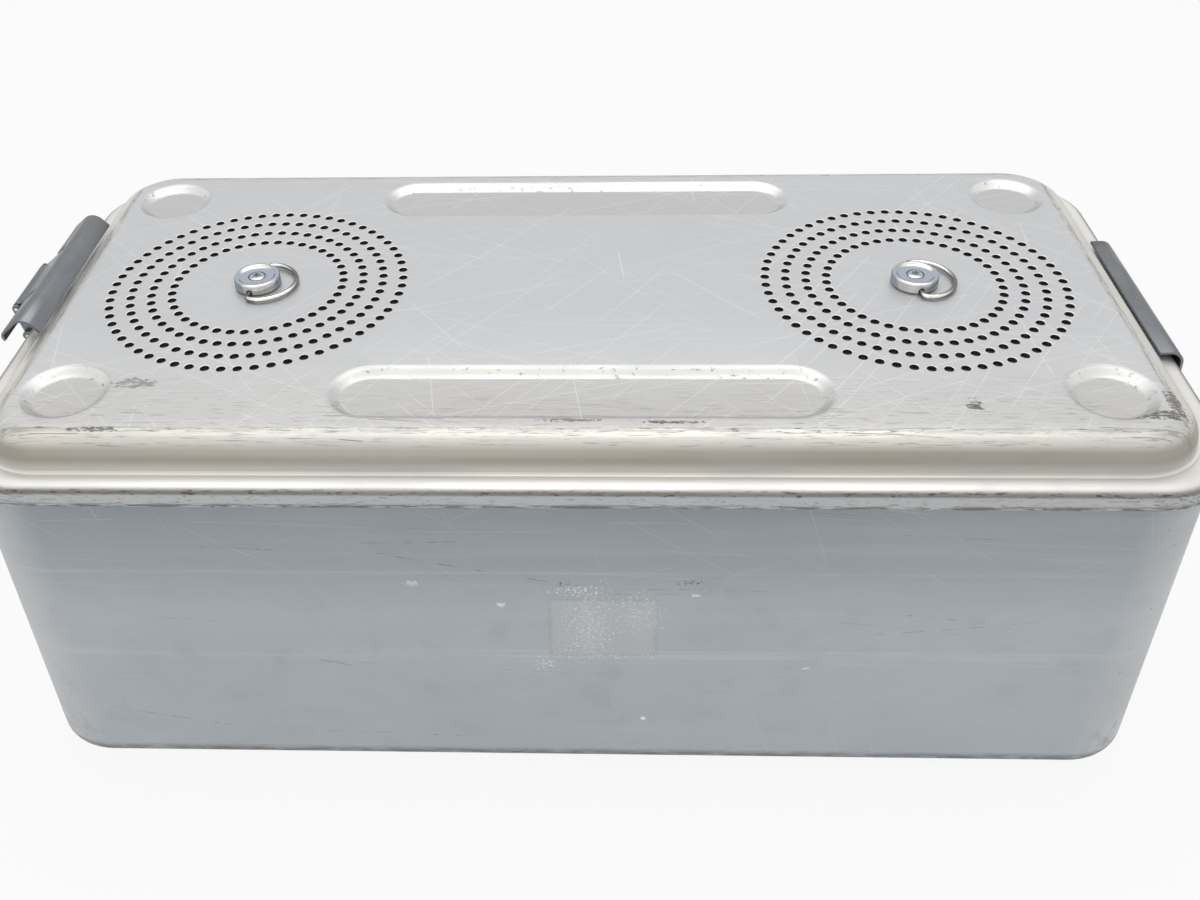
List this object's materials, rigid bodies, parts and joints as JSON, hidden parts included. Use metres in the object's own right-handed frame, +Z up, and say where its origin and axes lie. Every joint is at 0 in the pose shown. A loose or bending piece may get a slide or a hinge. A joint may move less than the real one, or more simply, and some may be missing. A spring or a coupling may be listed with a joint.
{
  "type": "sterilization container",
  "caption": "Rigid aluminium sterilization container: a deep rounded tub, a domed lid with perforated filter fields and turn knobs, fold-over end latches and drop handles",
  "frame": {"origin": "on the floor, under the middle of the whole container", "axes": "+X along the container's length to its right end, -Y its front long side, +Z up"},
  "size_m": [0.6026, 0.291, 0.2189],
  "materials": {
    "tub_anodised": "matte blue-grey anodised",
    "lid_aluminium": "bright satin, worn and scratched",
    "latch_steel": "grey satin",
    "knob_steel": "polished stainless steel",
    "plate_steel": "satin stainless steel",
    "seal_silicone": "matte silicone",
    "filter_cloth": "matte dark filter cloth",
    "grip_plastic": "matte moulded plastic"
  },
  "bodies": {
    "tub": {"tub": "tub_anodised", "latch_keeper_left": "latch_steel", "latch_keeper_right": "latch_steel", "keeper_rivet_front_left": "knob_steel", "keeper_rivet_rear_left": "knob_steel", "keeper_rivet_front_right": "knob_steel", "keeper_rivet_rear_right": "knob_steel", "handle_bracket_front_left": "plate_steel", "handle_bracket_rear_left": "plate_steel", "handle_bracket_front_right": "plate_steel", "handle_bracket_rear_right": "plate_steel", "handle_rivet_lower_front_left": "knob_steel", "handle_rivet_upper_front_left": "knob_steel", "handle_rivet_lower_rear_left": "knob_steel", "handle_rivet_upper_rear_left": "knob_steel", "handle_rivet_lower_front_right": "knob_steel", "handle_rivet_upper_front_right": "knob_steel", "handle_rivet_lower_rear_right": "knob_steel", "handle_rivet_upper_rear_right": "knob_steel"},
    "lid": {"lid": "lid_aluminium", "lid_gasket": "seal_silicone", "filter_left": "filter_cloth", "filter_right": "filter_cloth", "filter_seal_left": "seal_silicone", "filter_seal_right": "seal_silicone", "retainer_left": "plate_steel", "retainer_right": "plate_steel", "latch_lug_front_left": "latch_steel", "latch_lug_rear_left": "latch_steel", "latch_lug_front_right": "latch_steel", "latch_lug_rear_right": "latch_steel", "latch_pivot_front_left": "knob_steel", "latch_pivot_rear_left": "knob_steel", "latch_pivot_front_right": "knob_steel", "latch_pivot_rear_right": "knob_steel"},
    "knob_left": {"lock_knob_left": "knob_steel", "knob_seal_left": "seal_silicone", "knob_screw_left": "knob_steel", "lock_stud_left": "plate_steel"},
    "knob_right": {"lock_knob_right": "knob_steel", "knob_seal_right": "seal_silicone", "knob_screw_right": "knob_steel", "lock_stud_right": "plate_steel"},
    "ring_left": {"bail_ring_left": "knob_steel"},
    "ring_right": {"bail_ring_right": "knob_steel"},
    "links_left": {"latch_link_front_left": "latch_steel", "latch_link_rear_left": "latch_steel"},
    "links_right": {"latch_link_front_right": "latch_steel", "latch_link_rear_right": "latch_steel"},
    "bar_left": {"latch_bar_left": "latch_steel", "latch_pin_left": "knob_steel"},
    "bar_right": {"latch_bar_right": "latch_steel", "latch_pin_right": "knob_steel"},
    "handle_left": {"handle_bail_left": "plate_steel", "handle_grip_left": "grip_plastic"},
    "handle_right": {"handle_bail_right": "plate_steel", "handle_grip_right": "grip_plastic"}
  },
  "joints": [
    {"name": "lid_lift", "type": "slide", "parent": "tub", "child": "lid", "axis": [0, 0, 1], "range_m": [0, 0.15]},
    {"name": "knob_turn_left", "type": "hinge", "parent": "lid", "child": "knob_left", "pos_m": [-0.171, 0, 0.2115], "axis": [0, 0, 1], "range_deg": [0, 90]},
    {"name": "knob_turn_right", "type": "hinge", "parent": "lid", "child": "knob_right", "pos_m": [0.171, 0, 0.2115], "axis": [0, 0, 1], "range_deg": [0, 90]},
    {"name": "ring_hinge_left", "type": "hinge", "parent": "knob_left", "child": "ring_left", "pos_m": [-0.171, 0, 0.21335], "axis": [-0.1736, -0.9848, 0], "range_deg": [0, 180]},
    {"name": "ring_hinge_right", "type": "hinge", "parent": "knob_right", "child": "ring_right", "pos_m": [0.171, 0, 0.21335], "axis": [0.1045, -0.9945, 0], "range_deg": [0, 180]},
    {"name": "links_hinge_left", "type": "hinge", "parent": "lid", "child": "links_left", "pos_m": [-0.295, 0.0087, 0.1895], "axis": [0, 1, 0], "range_deg": [-175, 0]},
    {"name": "links_hinge_right", "type": "hinge", "parent": "lid", "child": "links_right", "pos_m": [0.295, 0.0087, 0.1895], "axis": [0, -1, 0], "range_deg": [-9, 166]},
    {"name": "bar_hinge_left", "type": "hinge", "parent": "links_left", "child": "bar_left", "pos_m": [-0.29804, 0.0087, 0.2047], "axis": [0, 1, 0], "range_deg": [-4, 129]},
    {"name": "bar_hinge_right", "type": "hinge", "parent": "links_right", "child": "bar_right", "pos_m": [0.29573, 0.0087, 0.17402], "axis": [0, -1, 0], "range_deg": [-123.5, 10.5]},
    {"name": "handle_hinge_left", "type": "hinge", "parent": "tub", "child": "handle_left", "pos_m": [-0.2947, 0, 0.15], "axis": [0, 1, 0], "range_deg": [0, 90]},
    {"name": "handle_hinge_right", "type": "hinge", "parent": "tub", "child": "handle_right", "pos_m": [0.2947, 0, 0.15], "axis": [0, -1, 0], "range_deg": [0, 90]}
  ],
  "couplings": [
    {"joint": "bar_hinge_left", "follows": "links_hinge_left", "ratio": -0.71429},
    {"joint": "bar_hinge_right", "follows": "links_hinge_right", "ratio": -0.71429}
  ]
}
